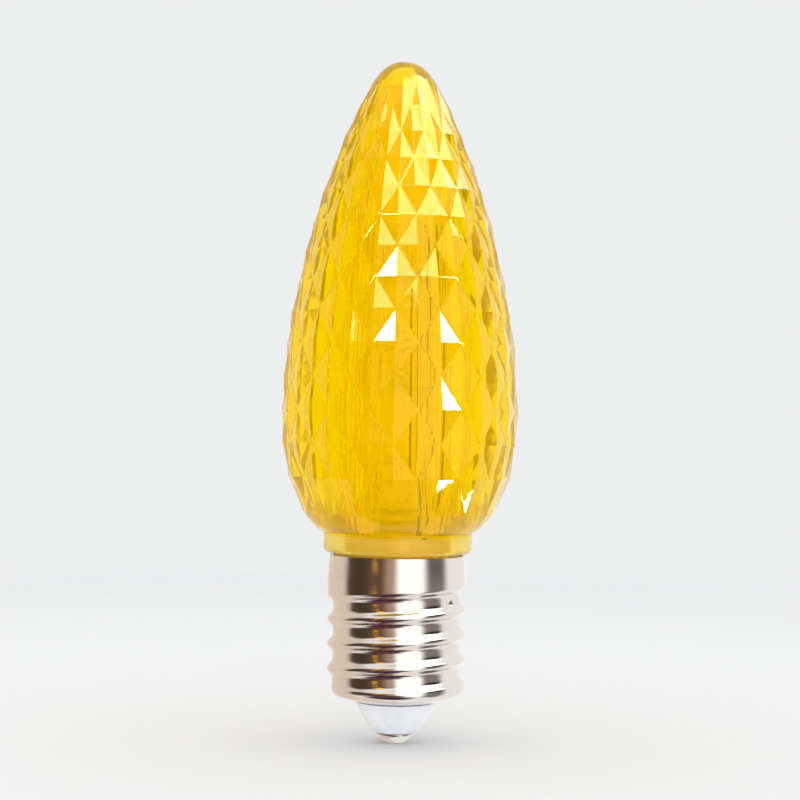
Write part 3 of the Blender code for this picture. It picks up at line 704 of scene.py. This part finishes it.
BAND_SHARES = (0.27, 0.37, 0.47, 0.66)  # of the resistor's length
BAND_COLOURS = ("#7A3B1A", "#1C1C1C", "#B3231C", "#B8923A")
BAND_HALF_SHARE = 0.03
resistor_coat = ended_finish("tan lacquer", "#CDAF84", "#C2A276", "inrush_resistor", 2, 0.39)
tree = resistor_coat.node_tree
shader = next(n for n in tree.nodes if n.type == "BSDF_PRINCIPLED")
colour = shader.inputs["Base Color"].links[0].from_socket
resistor_low, resistor_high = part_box("inrush_resistor")
resistor_length = resistor_high.z - resistor_low.z
place = add(tree, "SeparateXYZ", {0: add(tree, "TexCoord").outputs["Object"]})
for share, band_colour in zip(BAND_SHARES, BAND_COLOURS):
    band_middle = resistor_low.z + resistor_length * share
    off = add(tree, "Math", {0: place.outputs["Z"], 1: band_middle}, operation="SUBTRACT")
    size = add(tree, "Math", {0: off.outputs[0]}, operation="ABSOLUTE")
    reach = resistor_length * BAND_HALF_SHARE
    band = add(tree, "Math", {0: size.outputs[0], 1: reach}, operation="LESS_THAN")
    mixed = add(tree, "Mix", {0: band.outputs[0], 6: colour, 7: linear(band_colour)}, data_type="RGBA")
    colour = mixed.outputs[2]
tree.links.new(colour, shader.inputs["Base Color"])
dressed("inrush_resistor", resistor_coat)


# Lens: clear yellow polycarbonate, injection moulded in one thick piece. Sixteen diamonds go round it
# in staggered rows, each a low pyramid between fine V grooves. The bore's drawn flutes streak what lies
# behind, and the plastic's depth turns white light golden. It drops into the shell by its spigot.
LENS_RADIUS = 14.3 * MM
SHOULDER_FULLNESS = (2.5, 0.77)  # how long the shoulder stays full, and how square it turns in
TAPER = (  # share of the body's height, share of the lens radius
    (0.0, 1.0),
    (0.14, 0.978),
    (0.27, 0.932),
    (0.41, 0.845),
    (0.55, 0.745),
    (0.68, 0.617),
    (0.82, 0.452),
    (0.92, 0.302),
    (0.975, 0.185),
    (1.0, 0.0),
)
SHOULDER_HEIGHT = 14.45 * MM
NECK_RADIUS = 8.95 * MM
NECK_HEIGHT = 2.35 * MM
NECK_CHAMFER = 0.35 * MM
NECK_OVER_SHELL = 0.3 * MM
SPIGOT_RADIUS = 7.55 * MM
BORE_RADIUS = 6.5 * MM
BORE_NOSE = 50.0 * MM
BORE_FULLNESS = 2.6
TIP_WALL = 1.9 * MM
DIAMOND_SLOTS = 32
DIAMOND_ROWS = 14
DIAMOND_RELIEF = 0.3 * MM
CUT_FOOT = 2.6 * MM
CUT_HEAD = 2.9 * MM
CUT_CLOSING = 0.106
CUT_EASING = 2.4
CUT_TURN = -pi / 2 - radians(2.8)
GROOVE_WIDTH = 0.13 * MM
RIDGE_WIDTH = 0.03 * MM
FLUTES = 64
FLUTE_DEPTH = 0.05 * MM
ROUND_SIDES = 256
SEAM = 0.25 * MM  # height of the strips that join the cut band to the smooth cap and shoulder
CREST_ANGLE = radians(5.0)  # sharper ridges than this are eased
BODY_YELLOW = "#FFDE00"
NECK_SHEEN_YELLOW = "#FFE46C"  # painted sheen: the neck is painted paler, standing in for the pale band of light on it
NECK_PALE_FROM = 0.5 * MM  # below the neck's top
NECK_PALE_TO = 0.2 * MM

lens_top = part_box("lens")[1].z
spigot_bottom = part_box("lens")[0].z
neck_bottom = shell_high.z + NECK_OVER_SHELL
neck_top = neck_bottom + NECK_HEIGHT
belly = neck_top + SHOULDER_HEIGHT
body_height = lens_top - belly
bore_top = lens_top - TIP_WALL


def taper_at(share):
    """The lens radius, as a share, at a share of the body's height: a smooth curve through TAPER."""
    count = len(TAPER)
    squares = [radius**2 for _, radius in TAPER]
    heights = [height for height, _ in TAPER]
    slopes = []
    for i in range(count):
        before, after = max(i - 1, 0), min(i + 1, count - 1)
        slopes.append((squares[after] - squares[before]) / (heights[after] - heights[before]))
    i = next((k for k in range(1, count) if share <= heights[k]), count - 1)
    span = heights[i] - heights[i - 1]
    t = (share - heights[i - 1]) / span
    rise = (2 * t**3 - 3 * t**2 + 1) * squares[i - 1] + (3 * t**2 - 2 * t**3) * squares[i]
    bend = (t**3 - 2 * t**2 + t) * slopes[i - 1] + (t**3 - t**2) * slopes[i]
    return max(rise + bend * span, 0.0) ** 0.5


def lens_radius(z):
    if z <= belly:
        turning, squareness = SHOULDER_FULLNESS
        swell = (1 - (1 - max(z - neck_top, 0.0) / SHOULDER_HEIGHT) ** turning) ** squareness
        return NECK_RADIUS + (LENS_RADIUS - NECK_RADIUS) * swell
    return LENS_RADIUS * taper_at((z - belly) / body_height)


def cut_row(row):
    """Height of a row of diamond corners. The rows close up towards the tip."""
    foot = neck_top + CUT_FOOT
    share = row / DIAMOND_ROWS
    return foot + (lens_top - CUT_HEAD - foot) * (share + CUT_CLOSING * (share - share**CUT_EASING))


def bore_at(z):
    nose = max(0.0, (z - bore_top + BORE_NOSE) / BORE_NOSE)
    return BORE_RADIUS * max(1 - nose**BORE_FULLNESS, 0.0) ** 0.5


def open_loops(made):
    return [edge for edge in made.edges if edge.is_boundary]


def joined(*shapes):
    """One bmesh that holds them all."""
    whole = bmesh.new()
    for shape in shapes:
        mesh = bpy.data.meshes.new("joined")
        shape.to_mesh(mesh)
        shape.free()
        whole.from_mesh(mesh)
        bpy.data.meshes.remove(mesh)
    return whole


rows = [cut_row(row) for row in range(DIAMOND_ROWS + 1)]
cap_profile = [(0.0, lens_top)]
cap_foot = rows[-1] + SEAM
for step in range(1, 25):
    z = lens_top - (lens_top - cap_foot) * (1 - cos(step * pi / 48))
    cap_profile.append((lens_radius(z), z))
cap = spun(cap_profile, ROUND_SIDES // 2)

cut = spun([(lens_radius(z), z) for z in rows[::-1]], DIAMOND_SLOTS)
bmesh.ops.rotate(cut, verts=cut.verts, matrix=Matrix.Rotation(CUT_TURN, 3, "Z"))
grooved = []
for vert in cut.verts:
    row = min(range(DIAMOND_ROWS + 1), key=lambda r: abs(rows[r] - vert.co.z))
    slot = round((atan2(vert.co.y, vert.co.x) - CUT_TURN) * DIAMOND_SLOTS / (2 * pi))
    if (slot + row) % 2 == 0:
        grooved.append(vert)
        if 0 < row < DIAMOND_ROWS:
            radius = vert.co.to_2d().length
            vert.co.xy *= (radius - DIAMOND_RELIEF) / radius
bmesh.ops.connect_verts(cut, verts=grooved)
valleys = [e for e in cut.edges if e.is_manifold and e.verts[0] in grooved and e.verts[1] in grooved]
bmesh.ops.bevel(
    cut, geom=valleys, offset=GROOVE_WIDTH, offset_type="OFFSET", segments=2, profile=0.5,
    affect="EDGES", material=-1, clamp_overlap=True,
)
crests = [e for e in cut.edges if e.is_manifold and e.is_convex and e.calc_face_angle() > CREST_ANGLE]
bmesh.ops.bevel(
    cut, geom=crests, offset=RIDGE_WIDTH, offset_type="OFFSET", segments=1, profile=0.5,
    affect="EDGES", material=-1, clamp_overlap=True,
)

base_profile = []
shoulder_top = rows[0] - SEAM
for step in range(17):
    z = neck_top + (shoulder_top - neck_top) * (1 - step / 16) ** 1.6
    base_profile.append((lens_radius(z), z))
base_profile += [
    (NECK_RADIUS + 0.02 * MM, neck_top - 0.15 * MM),
    (NECK_RADIUS, neck_bottom + NECK_CHAMFER * 1.5),
    (NECK_RADIUS - 0.03 * MM, neck_bottom + NECK_CHAMFER),
    (NECK_RADIUS - NECK_CHAMFER * 0.8, neck_bottom + 0.06 * MM),
    (NECK_RADIUS - NECK_CHAMFER, neck_bottom),
    (SPIGOT_RADIUS, neck_bottom),
    (SPIGOT_RADIUS, spigot_bottom + 0.2 * MM),
    (SPIGOT_RADIUS - 0.2 * MM, spigot_bottom),
    (BORE_RADIUS, spigot_bottom),
    (BORE_RADIUS, neck_top),
]
for step in range(1, 49):
    z = bore_top - (bore_top - neck_top) * cos(step * pi / 96)
    base_profile.append((bore_at(z), z))
base_profile[-1] = (0.0, bore_top)
base = spun(base_profile, ROUND_SIDES)
for vert in base.verts:
    radius = vert.co.to_2d().length
    if neck_top < vert.co.z < bore_top - 0.01 * MM and radius < BORE_RADIUS + 0.01 * MM:
        fade_in = min((vert.co.z - neck_top) / (CUT_FOOT * 2), 1.0)
        angle = atan2(vert.co.y, vert.co.x)
        flute = FLUTE_DEPTH * fade_in * (0.5 - 0.5 * cos(FLUTES * angle)) * radius / BORE_RADIUS
        vert.co.xy *= (radius - flute) / radius

lens = joined(cap, cut, base)
edges = open_loops(lens)
for low, high in ((rows[-1] - SEAM, cap_foot + SEAM), (shoulder_top - SEAM, rows[0] + SEAM)):
    ring = [edge for edge in edges if all(low < v.co.z < high for v in edge.verts)]
    bmesh.ops.bridge_loops(lens, edges=ring)
bmesh.ops.remove_doubles(lens, verts=lens.verts, dist=0.0005 * MM)
bmesh.ops.recalc_face_normals(lens, faces=lens.faces)

yellow = bpy.data.materials.new("clear yellow polycarbonate")
yellow.use_nodes = True
tree = emptied(yellow.node_tree)
place = add(tree, "TexCoord").outputs["Object"]
height = add(tree, "SeparateXYZ", {0: place}).outputs["Z"]
# painted sheen: below a line just under its top, the neck is painted a paler yellow
neck_sheen_fade = add(tree, "MapRange", {0: height, 1: neck_top - NECK_PALE_FROM, 2: neck_top - NECK_PALE_TO})
yellows = {0: neck_sheen_fade.outputs[0], 6: linear(NECK_SHEEN_YELLOW), 7: linear(BODY_YELLOW)}
tint = add(tree, "Mix", yellows, data_type="RGBA")
flow = add(tree, "TexNoise", {"Vector": place, "Scale": per_mm(1.6), "Detail": 2.0, "Distortion": 0.6})
bump = add(tree, "Bump", {"Height": flow.outputs[0], "Strength": 0.25, "Distance": 0.02 * MM})
shader = add(
    tree,
    "BsdfPrincipled",
    {
        "Base Color": tint.outputs[2],
        "Roughness": 0.03,
        "IOR": 1.586,
        "Specular IOR Level": 0.15,
        "Specular Tint": linear("#FFD890"),
        "Transmission Weight": 0.77,
        "Normal": bump.outputs[0],
    },
)
depth = add(tree, "VolumeAbsorption", {"Color": (1.0, 0.0, 0.0, 1.0), "Density": 2.0})
add(tree, "OutputMaterial", {"Surface": shader.outputs[0], "Volume": depth.outputs[0]})
diamond_cut_lens = put_together("diamond_cut_lens", lens, yellow, ["lens"], sharp=4.0)

# Small far lamps that only the lens mirrors. Each hangs where one facet sends it to the camera, and
# the last is a wide one that pales the facets at the upper right.
GLINT_LAMPS = (  # azimuth, elevation, half width, half height, radiance
    (-36.8, 37.0, 2.6, 3.0, 85.0),
    (-32.6, 26.6, 2.4, 1.9, 85.0),
    (68.6, 23.6, 1.9, 1.9, 85.0),
    (66.8, 11.9, 2.2, 2.4, 85.0),
    (78.0, -40.2, 2.2, 2.4, 85.0),
    (50.0, 55.0, 44.0, 15.0, 9.0),
)
GLINT_DISTANCE = 1500.0 * MM
GLINT_AIM = Vector((0.0, 0.0, 50.0)) * MM
facets_only = bpy.data.collections.new("catches the glint lamps")
facets_only.objects.link(diamond_cut_lens)
for number, (turn, rise, half_width, half_height, radiance) in enumerate(GLINT_LAMPS):
    width = 2 * tan(radians(half_width)) * GLINT_DISTANCE
    height = 2 * tan(radians(half_height)) * GLINT_DISTANCE
    watts = radiance * pi * width * height
    name = f"glint_lamp_{number}"
    lamp = hang_lamp(name, turn, rise, GLINT_DISTANCE, GLINT_AIM, width, height, watts)
    lamp.visible_diffuse = False
    lamp.visible_transmission = False
    lamp.light_linking.receiver_collection = facets_only
